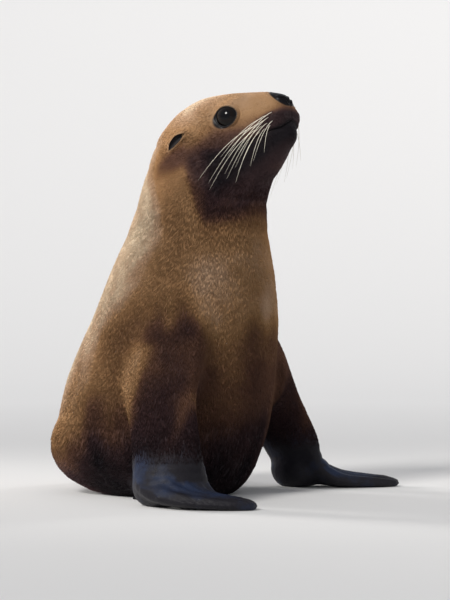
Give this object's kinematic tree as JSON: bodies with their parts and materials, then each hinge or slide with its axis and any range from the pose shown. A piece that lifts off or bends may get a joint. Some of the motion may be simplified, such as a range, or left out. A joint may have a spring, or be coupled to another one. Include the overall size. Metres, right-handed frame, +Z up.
{
  "type": "sea lion",
  "caption": "Life-size still model of a young California sea lion sitting upright on its fore flippers, head raised, near-black flippers and a brown coat.",
  "frame": {"origin": "on the floor, under the middle of the animal's box", "axes": "+Z up, the animal faces -Y, its left side is +X"},
  "size_m": [0.5484, 0.5072, 0.6288],
  "materials": {
    "coat": "short brown fur, paler on the crown, nape and back, near-black on the throat and underside",
    "flipper_leather": "bare near-black skin, finely creased, slightly moist",
    "nose_leather": "moist black leathery nose pad",
    "eye": "wet, glossy, dark brown to black",
    "claw": "smooth dark horn"
  },
  "bodies": {
    "root": {"abdomen": "coat", "chest": "coat", "claw_left_2": "claw", "claw_left_3": "claw", "claw_left_4": "claw", "claw_right_3": "claw", "claw_right_4": "claw", "ear_left": "coat", "ear_right": "coat", "eye_left": "eye", "eye_right": "eye", "fore_flipper_left": "flipper_leather", "fore_flipper_right": "flipper_leather", "forearm_left": "coat", "forearm_right": "coat", "head": "coat", "hind_flipper_left": "flipper_leather", "hind_flipper_right": "flipper_leather", "hips": "coat", "lower_jaw": "coat", "neck": "coat", "nose": "nose_leather", "tail": "coat"}
  },
  "joints": []
}
